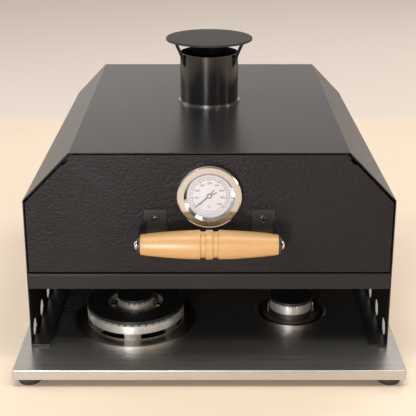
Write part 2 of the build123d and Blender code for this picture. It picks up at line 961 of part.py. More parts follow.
def make_rear_panel():
    low = plate_top + rear_ground_gap
    face = oven_rear - oven_sheet
    panel = hood_volume(liner_inset, face, oven_rear, low)
    first = -rear_vent_pitch * (rear_vent_count - 1) / 2
    vent_z = plate_top + vent_height + rear_vent_lift
    cuts = []
    for i in range(rear_vent_count):
        x = first + rear_vent_pitch * i
        cuts.append(bar_y(vent_radius, x, face - spare, oven_rear + spare, vent_z))
    return panel - cuts


def make_floor_tray():
    """Floor of the oven, bent up at the sides and round to the lip under the door."""
    low = plate_top + lip_bottom
    high = plate_top + lip_top
    rear = oven_rear - oven_sheet - seam_gap
    turn = oven_front + lip_return
    inside = oven_front + oven_sheet
    profile = [
        (turn, high),
        (oven_front, high),
        (oven_front, low),
        (rear, low),
        (rear, low + oven_sheet),
        (inside, low + oven_sheet),
        (inside, high - oven_sheet),
        (turn, high - oven_sheet),
    ]
    tray = prism_x(profile, -tray_half, tray_half)
    along = tray.edges().filter_by(Axis.X)
    tray = fillet([e for e in along if abs(e.center().Y - oven_front) < seam_gap], lip_bend)
    along = tray.edges().filter_by(Axis.X)
    tray = fillet([e for e in along if abs(e.center().Y - inside) < fit_gap], lip_bend - oven_sheet)
    clear_x = tray_half - oven_sheet - seam_gap
    notch_y = oven_rear - rear_flange - spare
    notch = block(clear_x, tray_half + spare, notch_y, oven_rear, low - spare, low + tray_flange)
    for corner in both_sides(notch):
        tray = tray - corner
    side = block(tray_half - oven_sheet, tray_half, turn + spare, notch_y - spare, low, low + tray_flange)
    for wall in both_sides(side):
        tray = tray + wall
    half = tray_window_width / 2
    y0 = oven_front + tray_window_start
    window = block(-half, half, y0, y0 + tray_window_depth, low - spare, low + oven_sheet + spare)
    window = fillet(window.edges().filter_by(Axis.Z), tray_window_corner)
    return tray - window - rivet_holes()


def make_door_frame():
    y0 = oven_front + frame_setback
    low = plate_top + lip_bottom + tray_flange + spare
    face = hood_band(liner_inset, frame_face, y0, y0 + oven_sheet, low)
    flange = hood_band(liner_inset, oven_sheet, y0, y0 + oven_sheet + frame_flange, low)
    return face + flange - rivet_holes()


def make_stone_rails():
    low = plate_top + tray_floor
    y0 = oven_front + stone_start
    y1 = y0 + stone_depth
    x0 = rail_place - rail_width / 2
    x1 = rail_place + rail_width / 2
    rail = block(x0, x1, y0, y1, low, low + rail_height)
    under = low + rail_height - oven_sheet
    rail = rail - block(x0 + oven_sheet, x1 - oven_sheet, y0 - spare, y1 + spare, low - spare, under)
    return both_sides(rail)


def make_pizza_stone():
    low = plate_top + tray_floor + rail_height
    half = stone_width / 2
    y0 = oven_front + stone_start
    stone = block(-half, half, y0, y0 + stone_depth, low, low + stone_thickness)
    stone = fillet(stone.edges().filter_by(Axis.Z), stone_corner)
    return chamfer(stone.faces().sort_by(Axis.Z)[-1].edges(), stone_edge)


def make_hinge_lugs():
    wall = oven_front + frame_setback
    x0 = lug_place - lug_thickness / 2
    x1 = lug_place + lug_thickness / 2
    arm = block(x0, x1, hinge_y, wall, hinge_z - lug_radius, hinge_z + lug_radius)
    nose = bar_x(lug_radius, x0, x1, hinge_y, hinge_z)
    half = lug_foot_width / 2
    tall = lug_foot_height / 2
    face = wall - lug_foot_thickness
    foot = block(lug_place - half, lug_place + half, face, wall, hinge_z - tall, hinge_z + tall)
    bore = bar_x(hinge_rod_radius + fit_gap, x0 - spare, x1 + spare, hinge_y, hinge_z)
    return both_sides(arm + nose + foot - bore)


def make_hinge_rod():
    half = hinge_rod_length / 2
    rod = bar_x(hinge_rod_radius, -half, half, hinge_y, hinge_z)
    heads = both_sides(bar_x(hinge_head_radius, half, half + hinge_head_length, hinge_y, hinge_z))
    return merged([rod] + heads)


def make_rivets():
    """Side rivets, each with a domed head outside and a flat tail inside."""
    rivets = []
    outside = oven_width / 2
    tail = outside - 2 * oven_sheet - seam_gap
    for y, z in rivet_spots():
        shank = bar_x(rivet_radius, tail - rivet_tail_height, outside + weld, y, z)
        head = bar_x(rivet_head_radius, outside, outside + rivet_head_height, y, z)
        head = fillet(head.edges().filter_by(GeomType.CIRCLE).sort_by(Axis.X)[-1], rivet_dome)
        end = bar_x(rivet_tail_radius, tail - rivet_tail_height, tail, y, z)
        rivets += both_sides(shank + head + end)
    return rivets


def make_chimney_tube():
    low = roof_z(flue_y) - flue_below_roof
    high = plate_top + flue_top
    tube = upright(flue_radius, 0, flue_y, low, high)
    tube = tube - upright(flue_radius - flue_wall, 0, flue_y, low - spare, high + spare)
    z = plate_top + (strut_foot_low + strut_foot_high) / 2
    bar = bar_x(strut_rivet_radius + fit_gap, flue_radius - wall_cut, flue_radius + spare, 0, z)
    return tube - [Pos(0, flue_y, 0) * Rot(0, 0, angle) * bar for angle in strut_angles]


def make_chimney_collar():
    """Ring around the foot of the flue, cut to the slope of the roof."""
    low = roof_z(flue_y) - collar_blank_low
    high = roof_z(flue_y) + collar_blank_high
    collar = upright(collar_radius, 0, flue_y, low, high)
    collar = collar - upright(flue_radius + fit_gap, 0, flue_y, low - spare, high + spare)
    under = hood_volume(0, oven_front, oven_rear, plate_top)
    return collar - under - above_roof(-collar_height)


def make_chimney_cap():
    high = plate_top + cap_top
    cap = turned([
        (0, high - oven_sheet),
        (cap_radius - oven_sheet, high - oven_sheet),
        (cap_radius - oven_sheet, high - cap_rim),
        (cap_radius, high - cap_rim),
        (cap_radius, high - cap_edge),
        (cap_radius - cap_edge, high),
        (0, high),
    ])
    return Pos(0, flue_y, 0) * cap


def make_cap_struts():
    """Bent flat strips from the side of the flue to the underside of the cap."""
    z0 = plate_top + strut_foot_low
    z1 = plate_top + strut_foot_high
    under = plate_top + cap_top - oven_sheet
    t = strut_thickness
    r0 = flue_radius + fit_gap
    top = under - t
    run = strut_reach - r0 - t
    rise = top - z1
    across = t * math.hypot(run, rise) / rise
    outline = [
        (r0, z0),
        (r0 + t, z0),
        (r0 + t, z1),
        (strut_reach, top),
        (strut_reach, under),
        (strut_reach - strut_tab, under),
        (strut_reach - strut_tab, top),
        (strut_reach - across, top),
        (r0, z1 + (across - t) * rise / run),
    ]
    strip = prism_y(outline, -strut_width / 2, strut_width / 2)
    hole_end = flue_radius + wall_cut
    strip = strip - bar_x(strut_rivet_radius + fit_gap, flue_radius - spare, hole_end, 0, (z0 + z1) / 2)
    return [Pos(0, flue_y, 0) * Rot(0, 0, angle) * strip for angle in strut_angles]


def make_strut_rivets():
    z = plate_top + (strut_foot_low + strut_foot_high) / 2
    inside = flue_radius - flue_wall - strut_head_height
    face = flue_radius + fit_gap + strut_thickness
    shank = bar_x(strut_rivet_radius, inside, face + weld, 0, z)
    head = bar_x(strut_head_radius, face, face + strut_head_height, 0, z)
    tail = bar_x(strut_tail_radius, inside, inside + strut_tail_height, 0, z)
    rivet = shank + head + tail
    return [Pos(0, flue_y, 0) * Rot(0, 0, angle) * rivet for angle in strut_angles]


def make_door_panel():
    y0 = oven_front
    low = plate_top + door_bottom
    back = y0 + door_flange
    sheet = hood_volume(door_inset, y0, y0 + oven_sheet, low, door_slant)
    reach = 2 * door_flange
    walls = hood_volume(door_inset, y0, back, low, door_slant)
    inner = door_inset + oven_sheet
    walls = walls - hood_volume(inner, y0 - reach, back + reach, low + oven_sheet, door_slant + oven_sheet)
    high = hinge_z - 2 * barrel_radius
    walls = walls - block(-oven_width, oven_width, y0 + oven_sheet, back + spare, high, high + roof_height)
    panel = sheet + walls
    ahead = y0 - spare
    relief = block(-oven_width, oven_width, ahead, back, hinge_z - relief_below, hinge_z + relief_above)
    panel = panel - (relief - hood_volume(door_inset, ahead, back, low, door_slant + relief_depth))
    gap = lug_thickness / 2 + lug_side_gap
    end = hinge_rod_length / 2 - lug_side_gap
    spans = [(-end, -lug_place - gap), (-lug_place + gap, lug_place - gap), (lug_place + gap, end)]
    for x0, x1 in spans:
        panel = panel + bar_x(barrel_radius, x0, x1, hinge_y, hinge_z)
    panel = panel - bar_x(hinge_rod_radius + fit_gap, -oven_width / 2, oven_width / 2, hinge_y, hinge_z)
    behind = y0 + oven_sheet + spare
    panel = panel - bar_y(stem_thread_radius + hole_gap, 0, ahead, behind, gauge_z)
    z = plate_top + bracket_screw_height
    for screw in both_sides(bar_y(bracket_screw_radius + fit_gap, bracket_screw_place, ahead, behind, z)):
        panel = panel - screw
    return panel


def make_handle_bracket():
    """Right bracket: a plate on the door that bends into an arm towards the grip."""
    s = bracket_sheet
    front = oven_front
    x_in = bracket_inner
    x_out = bracket_outer
    y_bend = front - arm_bend_reach
    y_end = grip_y - arm_end_radius
    outline = [
        (x_in, front),
        (x_out, front),
        (arm_outer, y_bend),
        (arm_outer, y_end),
        (arm_outer - s, y_end),
        (arm_outer - s, y_bend + fit_gap),
        (x_out - s, front - s),
        (x_in, front - s),
    ]
    z_high = plate_top + bracket_top
    z_low = plate_top + bracket_bottom
    face = make_face(Polyline(*outline, close=True))
    blank = Pos(0, 0, z_low) * extrude(face, amount=z_high - z_low)
    bends = [e for e in blank.edges().filter_by(Axis.Z) if abs(e.center().X - x_out) < 0.01]
    blank = fillet(bends, s)
    root = front - s
    top = plate_top + arm_top
    low = plate_top + arm_bottom
    side = [
        (front + spare, z_low - spare),
        (front + spare, z_high + spare),
        (root, z_high + spare),
        (root, top),
        (grip_y, grip_z + arm_end_radius),
        (grip_y, grip_z - arm_end_radius),
        (root, low),
        (root, z_low - spare),
    ]
    keep = prism_x(side, 0, oven_width / 2) + bar_x(arm_end_radius, 0, oven_width / 2, grip_y, grip_z)
    bracket = blank & keep
    z = plate_top + bracket_screw_height
    ahead = front - wall_cut
    bracket = bracket - bar_y(bracket_screw_radius + fit_gap, bracket_screw_place, ahead, front + spare, z)
    return bracket - bar_x(grip_bore, arm_outer - wall_cut, arm_outer + spare, grip_y, grip_z)


def make_bracket_screws():
    z = plate_top + bracket_screw_height
    seat = oven_front - bracket_sheet
    end = oven_front + oven_sheet + bracket_nut_height + bracket_screw_over
    x = bracket_screw_place
    crest = seat - bracket_head_height
    shank = bar_y(bracket_screw_radius, x, seat - weld, end, z)
    head = bar_y(bracket_head_radius, x, crest, seat, z)
    rim = head.edges().filter_by(GeomType.CIRCLE).sort_by(Axis.Y)[0]
    head = fillet(rim, bracket_head_dome)
    socket = hexagon_y(socket_flats, x, crest - spare, crest + socket_depth, z)
    return both_sides(shank + head - socket)


def make_bracket_nuts():
    z = plate_top + bracket_screw_height
    y0 = oven_front + oven_sheet
    nut = hexagon_y(bracket_nut_flats, bracket_screw_place, y0, y0 + bracket_nut_height, z)
    end = y0 + bracket_nut_height + spare
    bore = bar_y(bracket_screw_radius + fit_gap, bracket_screw_place, y0 - spare, end, z)
    return both_sides(nut - bore)


def make_handle_grip():
    """Turned wooden grip with two grooves and a bead between them."""
    half = grip_length / 2
    neck = half - grip_edge
    start = (-neck, grip_end_radius)
    end = (neck, grip_end_radius)
    swell = ThreePointArc(start, (0, grip_middle_radius), end)
    face_radius = grip_end_radius - grip_edge
    rest = Polyline(end, (half, face_radius), (half, 0), (-half, 0), (-half, face_radius), start)
    body = revolve(make_face(swell + rest), Axis.X, 360)
    for side in (-1, 1):
        middle = Pos(side * grip_groove_place, 0, 0) * Rot(0, 90, 0)
        groove = middle * Cylinder(grip_middle_radius + spare, grip_groove_width)
        core = middle * Cylinder(grip_groove_radius, grip_groove_width + spare)
        body = body - (groove - core)
    bore = bar_x(grip_bore, -half - spare, -half + grip_screw_depth + spare, 0, 0)
    for cut in both_sides(bore):
        body = body - cut
    return Pos(0, grip_y, grip_z) * body


def make_grip_washers():
    ring = bar_x(washer_radius, arm_outer, arm_outer + washer_thickness, grip_y, grip_z)
    ring = ring - bar_x(grip_bore, arm_outer - spare, arm_outer + wall_cut, grip_y, grip_z)
    return both_sides(ring)


def make_grip_screws():
    seat = arm_outer + washer_thickness
    end = grip_length / 2 - grip_screw_depth
    shank = bar_x(grip_bore - fit_gap, end, seat + weld, grip_y, grip_z)
    head = bar_x(grip_head_radius, seat, seat + grip_head_height, grip_y, grip_z)
    rim = head.edges().filter_by(GeomType.CIRCLE).sort_by(Axis.X)[-1]
    head = fillet(rim, grip_head_dome)
    return both_sides(shank + head)


def gauge_turned(points):
    """Solid turned about the thermometer axis from radius and depth from the door."""
    outline = make_face(Polyline(*points, close=True))
    body = revolve(outline, Axis.Y, 360)
    return Pos(0, oven_front, gauge_z) * body


def make_gauge_case():
    depth = bezel_depth - glass_face_depth - glass_thickness
    return gauge_turned([
        (stem_thread_radius, 0),
        (case_radius, 0),
        (case_radius, -depth),
        (case_radius - case_wall, -depth),
        (case_radius - case_wall, -case_wall),
        (stem_thread_radius, -case_wall),
    ])


def make_gauge_bezel():
    front = -bezel_depth
    throat = front + glass_face_depth
    return gauge_turned([
        (case_radius + fit_gap, -seam_gap),
        (bezel_radius, -seam_gap),
        (bezel_radius, front + bezel_edge),
        (bezel_radius - bezel_edge * bezel_knee_in, front + bezel_edge * bezel_knee_back),
        (bezel_radius - bezel_edge * bezel_flat_in, front),
        (bezel_inner_radius + bezel_inner_edge, front),
        (bezel_inner_radius, front + bezel_inner_edge),
        (bezel_throat_radius, throat),
        (glass_radius + fit_gap, throat),
        (glass_radius + fit_gap, throat + glass_thickness),
        (case_radius + fit_gap, throat + glass_thickness),
    ])


def make_gauge_glass():
    y0 = -bezel_depth + glass_face_depth
    y1 = y0 + glass_thickness
    return gauge_turned([(0, y0), (glass_radius, y0), (glass_radius, y1), (0, y1)])


def make_gauge_dial():
    y0 = dial_depth - bezel_depth
    y1 = y0 + dial_thickness
    hole = shaft_radius + fit_gap
    return gauge_turned([(hole, y0), (dial_radius, y0), (dial_radius, y1), (hole, y1)])


def make_gauge_stem():
    """Threaded neck through the door and the probe behind it."""
    neck_end = oven_sheet + gauge_nut_height + stem_over
    bore = shaft_radius + fit_gap
    dial_back = dial_depth - bezel_depth + dial_thickness
    bore_end = shaft_end + spare
    return gauge_turned([
        (bore, dial_back),
        (stem_collar_radius, dial_back),
        (stem_collar_radius, -case_wall),
        (stem_thread_radius - fit_gap, -case_wall),
        (stem_thread_radius - fit_gap, neck_end),
        (probe_radius, neck_end),
        (probe_radius, probe_length - probe_point),
        (probe_radius - probe_point, probe_length),
        (0, probe_length),
        (0, bore_end),
        (bore, bore_end),
    ])


def make_gauge_nut():
    y0 = oven_front + oven_sheet
    nut = hexagon_y(gauge_nut_flats, 0, y0, y0 + gauge_nut_height, gauge_z)
    return nut - bar_y(stem_thread_radius, 0, y0 - spare, y0 + gauge_nut_height + spare, gauge_z)


def make_gauge_needle():
    """Pointer with a forked tail, at the start of the scale."""
    root = needle_root_width / 2
    tip = needle_tip_width / 2
    tail = needle_tail_width / 2
    outline = [(-root, 0), (-tip, needle_length), (tip, needle_length), (root, 0)]
    flat = make_face(Polyline(*outline, close=True)) + Circle(needle_hub_radius)
    for side in (-1, 1):
        prong = Pos(0, -needle_tail / 2) * Rectangle(2 * tail, needle_tail)
        flat = flat + Rot(0, 0, side * needle_fork) * prong
    body = extrude(flat - Circle(shaft_radius), amount=needle_thickness)
    upright_body = Rot(90, 0, 0) * body
    turned_body = Rot(0, -needle_start, 0) * upright_body
    back = oven_front - bezel_depth + dial_depth - needle_lift
    return Pos(0, back, gauge_z) * turned_body


def make_gauge_shaft():
    face = oven_front - bezel_depth + dial_depth - needle_lift
    tip = face - needle_thickness - shaft_over
    return bar_y(shaft_radius - press_gap, 0, tip, oven_front + shaft_end, gauge_z)


nodes = {
    "base_plate": make_base_plate,
    "bottom_pan": make_bottom_pan,
    "rubber_feet": make_rubber_feet,
    "foot_screws": make_foot_screws,
    "foot_nuts": make_foot_nuts,
    "inlet_stub": make_inlet_stub,
    "inlet_pipe": make_inlet_pipe,
    "rail_plug": make_rail_plug,
    "large_valve": make_large_valve,
    "small_valve": make_small_valve,
    "large_feed_pipe": make_large_feed_pipe,
    "small_feed_pipe": make_small_feed_pipe,
    "burner_jets": make_burner_jets,
    "large_spindle": lambda: make_spindle(large_knob_y),
    "small_spindle": lambda: make_spindle(small_knob_y),
    "large_knob": lambda: make_knob(large_knob_y),
    "small_knob": lambda: make_knob(small_knob_y),
    "large_burner_cup": make_large_burner_cup,
    "large_burner_ring": make_large_burner_ring,
    "ring_screws": make_ring_screws,
    "large_ring_cap": make_large_ring_cap,
    "large_inner_cap": make_large_inner_cap,
    "small_burner_cup": make_small_burner_cup,
    "small_burner_crown": make_small_burner_crown,
    "small_burner_cap": make_small_burner_cap,
    "igniters": make_igniters,
    "flame_sensors": make_flame_sensors,
    "oven_shell": make_oven_shell,
    "foot_strips": make_foot_strips,
    "rear_band": make_rear_band,
    "rear_panel": make_rear_panel,
    "floor_tray": make_floor_tray,
    "door_frame": make_door_frame,
    "stone_rails": make_stone_rails,
    "pizza_stone": make_pizza_stone,
    "hinge_lugs": make_hinge_lugs,
    "hinge_rod": make_hinge_rod,
    "shell_rivets": make_rivets,
    "chimney_tube": make_chimney_tube,
    "chimney_collar": make_chimney_collar,
    "chimney_cap": make_chimney_cap,
    "cap_struts": make_cap_struts,
    "strut_rivets": make_strut_rivets,
    "door_panel": make_door_panel,
    "handle_bracket_right": make_handle_bracket,
    "handle_bracket_left": lambda: mirror(make_handle_bracket(), about=Plane.YZ),
    "bracket_screws": make_bracket_screws,
    "bracket_nuts": make_bracket_nuts,
    "handle_grip": make_handle_grip,
    "grip_washers": make_grip_washers,
    "grip_screws": make_grip_screws,
    "gauge_case": make_gauge_case,
    "gauge_bezel": make_gauge_bezel,
    "gauge_glass": make_gauge_glass,
    "gauge_dial": make_gauge_dial,
    "gauge_stem": make_gauge_stem,
    "gauge_nut": make_gauge_nut,
    "gauge_needle": make_gauge_needle,
    "gauge_shaft": make_gauge_shaft,
}

os.makedirs("parts", exist_ok=True)
for node, make in nodes.items():
    save(node, make())
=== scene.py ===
# %% [markdown]
# # A gas pizza oven on its burner base
#
# This file dresses a pizza oven for its picture. The pieces come from a fixed frame, where every
# part already has its real size and place in metres: +Z is up and the door looks along -Y.
# What is left for Blender is the surface of each part, the small details that the frame does
# without, the light and the camera.

# %% The frame
import math

import bpy
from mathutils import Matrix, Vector


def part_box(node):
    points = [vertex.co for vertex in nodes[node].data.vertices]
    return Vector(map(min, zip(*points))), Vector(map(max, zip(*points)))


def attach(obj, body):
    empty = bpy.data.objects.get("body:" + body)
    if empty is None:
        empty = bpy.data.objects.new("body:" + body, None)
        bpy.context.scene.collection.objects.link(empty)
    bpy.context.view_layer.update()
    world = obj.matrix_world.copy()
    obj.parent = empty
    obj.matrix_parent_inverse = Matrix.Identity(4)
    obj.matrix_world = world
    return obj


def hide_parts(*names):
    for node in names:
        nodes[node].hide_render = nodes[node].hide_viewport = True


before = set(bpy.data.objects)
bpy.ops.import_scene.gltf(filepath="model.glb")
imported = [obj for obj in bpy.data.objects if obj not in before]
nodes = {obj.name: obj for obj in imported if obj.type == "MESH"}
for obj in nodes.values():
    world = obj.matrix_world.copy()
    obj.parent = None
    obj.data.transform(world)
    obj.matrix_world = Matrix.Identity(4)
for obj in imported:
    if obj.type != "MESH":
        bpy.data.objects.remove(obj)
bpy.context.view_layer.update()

# %% [markdown]
# ## The camera
#
# The picture is taken from the front, a little above the oven, with a longish lens so that the
# oven looks solid and not stretched. The lens is shifted instead of tilted further, which
# keeps the sides of the oven almost upright.

# %% The camera
view_data = bpy.data.cameras.new("picture_camera")
view_data.lens = 81.0
view_data.sensor_width = 36.0
view_data.shift_y = -0.149
picture_camera = bpy.data.objects.new("picture_camera", view_data)
picture_camera.location = (-0.00166, -1.3155, 0.639)
picture_camera.rotation_euler = (math.radians(90 - 17.72), 0, 0)
bpy.context.scene.collection.objects.link(picture_camera)
bpy.context.scene.camera = picture_camera
print("camera at", [round(v, 3) for v in picture_camera.location])

# %% [markdown]
# ## Selecting with care
#
# Blender's operators act on whatever is selected. Every step therefore starts from an empty
# selection, and the piece it works on is chosen by name or by the place of its faces.


# %% Selection helpers
smooth_angle = math.radians(35)


def nothing_selected():
    if bpy.context.mode != "OBJECT":
        bpy.ops.object.mode_set(mode="OBJECT")
    bpy.ops.object.select_all(action="DESELECT")


def only(piece):
    nothing_selected()
    piece.select_set(True)
    bpy.context.view_layer.objects.active = piece


def placed(piece):
    """The place and size of a piece go into its mesh."""
    only(piece)
    bpy.ops.object.transform_apply(location=True, rotation=True, scale=True)
    return piece


def finished(piece, body):
    """A piece is smoothed and rides on its body."""
    placed(piece)
    bpy.ops.object.shade_smooth_by_angle(angle=smooth_angle)
    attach(piece, body)


# %% [markdown]
# ## Shader sums
#
# A finish is a small sum over masks: grain plus streaks, minus wear. Writing that sum with
# plus and times signs is easier to read than a list of nodes, so a socket is wrapped in a
# class whose operators add the Math nodes.


# %% Shader sums
class Value:
    """One output socket of a node tree, with arithmetic."""

    def __init__(self, finish, socket):
        self.finish = finish
        self.socket = socket

    def maths(self, operation, other, swapped=False):
        pair = [other, self] if swapped else [self, other]
        return self.finish.node("ShaderNodeMath", {"operation": operation}, pair)

    def __add__(self, other):
        return self.maths("ADD", other)

    def __radd__(self, other):
        return self.maths("ADD", other, True)

    def __sub__(self, other):
        return self.maths("SUBTRACT", other)

    def __mul__(self, other):
        return self.maths("MULTIPLY", other)


class Tree:
    """A node tree and the few calls that build it."""

    def __init__(self, tree, coordinates):
        self.tree = tree
        self.place = self.node("ShaderNodeTexCoord", {}, [], coordinates)

    def link(self, value, socket):
        if isinstance(value, Value):
            self.tree.links.new(value.socket, socket)
        else:
            socket.default_value = value

    def node(self, kind, settings, inputs, output=0):
        """Any node: its settings first, then its sockets in order or by name."""
        made = self.tree.nodes.new(kind)
        for key, value in settings.items():
            if key == "stops":
                ramp = made.color_ramp
                while len(ramp.elements) < len(value):
                    ramp.elements.new(0.5)
                for element, (position, colour) in zip(ramp.elements, value):
                    element.position = position
                    element.color = colour if len(colour) == 4 else (*colour, 1.0)
            else:
                setattr(made, key, value)
        pairs = inputs.items() if isinstance(inputs, dict) else enumerate(inputs)
        for key, value in pairs:
            self.link(value, made.inputs[key])
        return Value(self, made.outputs[output])

    def stretched(self, scale, turn=(0, 0, 0)):
        """The place, scaled apart along its axes."""
        inputs = {"Vector": self.place, "Rotation": turn, "Scale": scale}
        return self.node("ShaderNodeMapping", {}, inputs)

    def noise(self, scale, detail=2.0, rough=0.5, where=None, warp=0.0):
        inputs = {
            "Vector": where or self.place,
            "Scale": scale,
            "Detail": detail,
            "Roughness": rough,
            "Distortion": warp,
        }
        return self.node("ShaderNodeTexNoise", {}, inputs, "Fac")

    def between(self, value, low_in, high_in, low_out=0.0, high_out=1.0):
        """A value moved from one range to another, and held at its ends."""
        return self.node("ShaderNodeMapRange", {}, [value, low_in, high_in, low_out, high_out])

    def mix(self, factor, first, second):
        """Two colours mixed by a mask."""
        made = self.tree.nodes.new("ShaderNodeMix")
        made.data_type = "RGBA"
        self.link(factor, made.inputs[0])
        for value, socket in ((first, made.inputs[6]), (second, made.inputs[7])):
            self.link(value if isinstance(value, Value) else (*value, 1.0), socket)
        return Value(self, made.outputs[2])

    def axes(self):
        """The place's X, Y and Z as three values."""
        split = self.node("ShaderNodeSeparateXYZ", {}, [self.place]).socket.node
        return [Value(self, output) for output in split.outputs]

    def reach(self, centre):
        """Distance from an upright axis through centre."""
        kind = "ShaderNodeVectorMath"
        flat = self.node(kind, {"operation": "MULTIPLY"}, [self.place, (1, 1, 0)])
        ends = [flat, (centre.x, centre.y, 0)]
        return self.node(kind, {"operation": "DISTANCE"}, ends, "Value")


class Finish(Tree):
    """A material on one Principled shader."""

    def __init__(self, name, colour, rough, metal=0.0):
        self.material = bpy.data.materials.new(name)
        self.material.use_nodes = True
        self.material.diffuse_color = (*colour, 1.0)
        super().__init__(self.material.node_tree, "Object")
        self.shader = self.tree.nodes["Principled BSDF"]
        self.base(colour)
        self.set("Roughness", rough)
        self.set("Metallic", metal)

    def set(self, name, value):
        self.link(value, self.shader.inputs[name])

    def current(self, name):
        """What feeds one socket of the shader so far."""
        return Value(self, self.shader.inputs[name].links[0].from_socket)

    def base(self, colour):
        self.set("Base Color", colour if isinstance(colour, Value) else (*colour, 1.0))

    def bump(self, height, distance):
        inputs = {"Strength": 1.0, "Distance": distance, "Height": height}
        self.set("Normal", self.node("ShaderNodeBump", {}, inputs))


def dressed(finish, *names):
    """Gives CAD nodes or new pieces a finish."""
    for name in names:
        piece = nodes[name] if isinstance(name, str) else name
        piece.data.materials.clear()
        piece.data.materials.append(finish.material)


def middle_of(name):
    """The middle of a part's box."""
    corner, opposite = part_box(name)
    return (corner + opposite) / 2


print("shader helpers ready")

# %% [markdown]
# ## Softened edges
#
# Folded sheet and turned metal never end in a perfectly sharp edge. The thin bright line on
# such an edge is what makes black paint readable, so the visible parts are copied, their loose
# triangles are joined to clean faces, and a very small bevel is applied. The copy stands for
# the part in the picture. A bevel node in the material would be quicker, but the real faces
# also survive an export.
#
# The shell and the door get an extra, wider round on the long edges at their front. The door
# keeps its triangles, because one large face with the relief in it is cut badly when it is
# turned back into triangles.

# %% Widths of the rounds
sheet_edge = 0.00035
plate_edge = 0.0003
grip_edge = 0.0008
stone_edge = 0.001
cast_edge = 0.00025
shell_front = 0.0005
door_front = 0.0009
same_place = 0.000005
flat_angle = math.radians(0.8)
sharp_angle = math.radians(38)
plane_reach = 0.00002
long_edge = 0.03


# %% Softened copies
def rounded_front(piece, width):
    """Rounds the long edges that lie in the front plane of a piece."""
    front = min(v.co.y for v in piece.data.vertices)
    only(piece)
    bpy.ops.object.mode_set(mode="EDIT")
    bpy.ops.mesh.select_mode(type="EDGE")
    bpy.ops.mesh.select_all(action="DESELECT")
    bpy.ops.object.mode_set(mode="OBJECT")
    for edge in piece.data.edges:
        start, end = (piece.data.vertices[i].co for i in edge.vertices)
        flush = max(start.y, end.y) < front + plane_reach
        edge.select = flush and (end - start).length > long_edge
    bpy.ops.object.mode_set(mode="EDIT")
    bpy.ops.mesh.bevel(offset=width, segments=3, clamp_overlap=True)
    bpy.ops.mesh.select_mode(type="VERT")
    bpy.ops.object.mode_set(mode="OBJECT")


def softened(name, width, body, segments=2, front=0.0, merged=True):
    """A copy of a part with its hard edges rounded by width metres."""
    mesh = nodes[name].data.copy()
    piece = bpy.data.objects.new(name + "_soft", mesh)
    bpy.context.scene.collection.objects.link(piece)
    only(piece)
    bpy.ops.object.mode_set(mode="EDIT")
    bpy.ops.mesh.select_all(action="SELECT")
    bpy.ops.mesh.remove_doubles(threshold=same_place)
    if merged:
        bpy.ops.mesh.dissolve_limited(angle_limit=flat_angle)
    bpy.ops.object.mode_set(mode="OBJECT")
    if front:
        rounded_front(piece, front)
    bevel = piece.modifiers.new("edge", "BEVEL")
    bevel.width = width
    bevel.segments = segments
    bevel.limit_method = "ANGLE"
    bevel.angle_limit = sharp_angle
    bpy.ops.object.modifier_apply(modifier="edge")
    finished(piece, body)
    even = piece.modifiers.new("even", "WEIGHTED_NORMAL")
    even.weight = 100
    even.keep_sharp = True
    only(piece)
    bpy.ops.object.modifier_apply(modifier="even")
    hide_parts(name)
    return piece


soft = {}
for name in ("foot_strips", "rear_panel", "rear_band", "chimney_tube", "chimney_cap", "cap_struts"):
    soft[name] = softened(name, sheet_edge, "oven")
soft["oven_shell"] = softened("oven_shell", sheet_edge, "oven", front=shell_front)
soft["floor_tray"] = softened("floor_tray", sheet_edge, "oven")
soft["door_panel"] = softened("door_panel", sheet_edge, "door",
                              front=door_front, merged=False)
for name in ("handle_bracket_left", "handle_bracket_right"):
    soft[name] = softened(name, sheet_edge, "door")
soft["base_plate"] = softened("base_plate", plate_edge, "base")
soft["handle_grip"] = softened("handle_grip", grip_edge, "door", 3)
soft["pizza_stone"] = softened("pizza_stone", stone_edge, "oven")
soft["large_burner_ring"] = softened("large_burner_ring", cast_edge, "large_ring")
print("softened:", len(soft), "parts")

# %% [markdown]
# ## The dial print
#
# The thermometer's scale is printed on a white disc: two fine circles, a tick every ten
# degrees, a longer tick every fifty, and numbers that stand upright. A printed line is
# modelled as a film five hundredths of a millimetre thick, because a real mesh stays sharp in
# a close view where a texture would blur. Every tick is the same bar, turned to its angle.

# %% The dial's place
dial_low, dial_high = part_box("gauge_dial")
dial_face = dial_low.y
dial_x = (dial_low.x + dial_high.x) / 2
dial_z = (dial_low.z + dial_high.z) / 2
film = 0.00005
scale_start = math.radians(131.5)
scale_steps = 40
steps_per_number = 5
first_number = 100
degrees_per_number = 50
outer_circle = 0.0247
inner_circle = 0.0213
circle_width = 0.0004
tick_outer = 0.0245
long_tick_inner, long_tick_width = 0.0194, 0.0008
short_tick_inner, short_tick_width = 0.0211, 0.00055
number_radius, number_height = 0.0161, 0.0028
sign_radius, sign_height = 0.0145, 0.0030
size_per_height = 1.38
print("dial face at y", round(dial_face, 4), "centre z", round(dial_z, 4))


# %% Placing on the dial
def on_dial(angle, radius):
    """A place on the dial's face, with the angle clockwise from the top."""
    return Vector((dial_x + radius * math.sin(angle), dial_face, dial_z + radius * math.cos(angle)))


def scale_angle(step):
    return -scale_start + 2 * scale_start * step / scale_steps


def tick(angle, inner, outer, width):
    """A flat bar along a radius."""
    nothing_selected()
    middle = on_dial(angle, (inner + outer) / 2)
    bpy.ops.mesh.primitive_cube_add(size=1, location=middle - Vector((0, film / 2, 0)))
    bar = bpy.context.active_object
    bar.scale = (width, film, outer - inner)
    bar.rotation_euler = (0, angle, 0)
    return placed(bar)


def joined(pieces, name):
    nothing_selected()
    for piece in pieces:
        piece.select_set(True)
    bpy.context.view_layer.objects.active = pieces[0]
    bpy.ops.object.join()
    made = bpy.context.active_object
    made.name = name
    return made


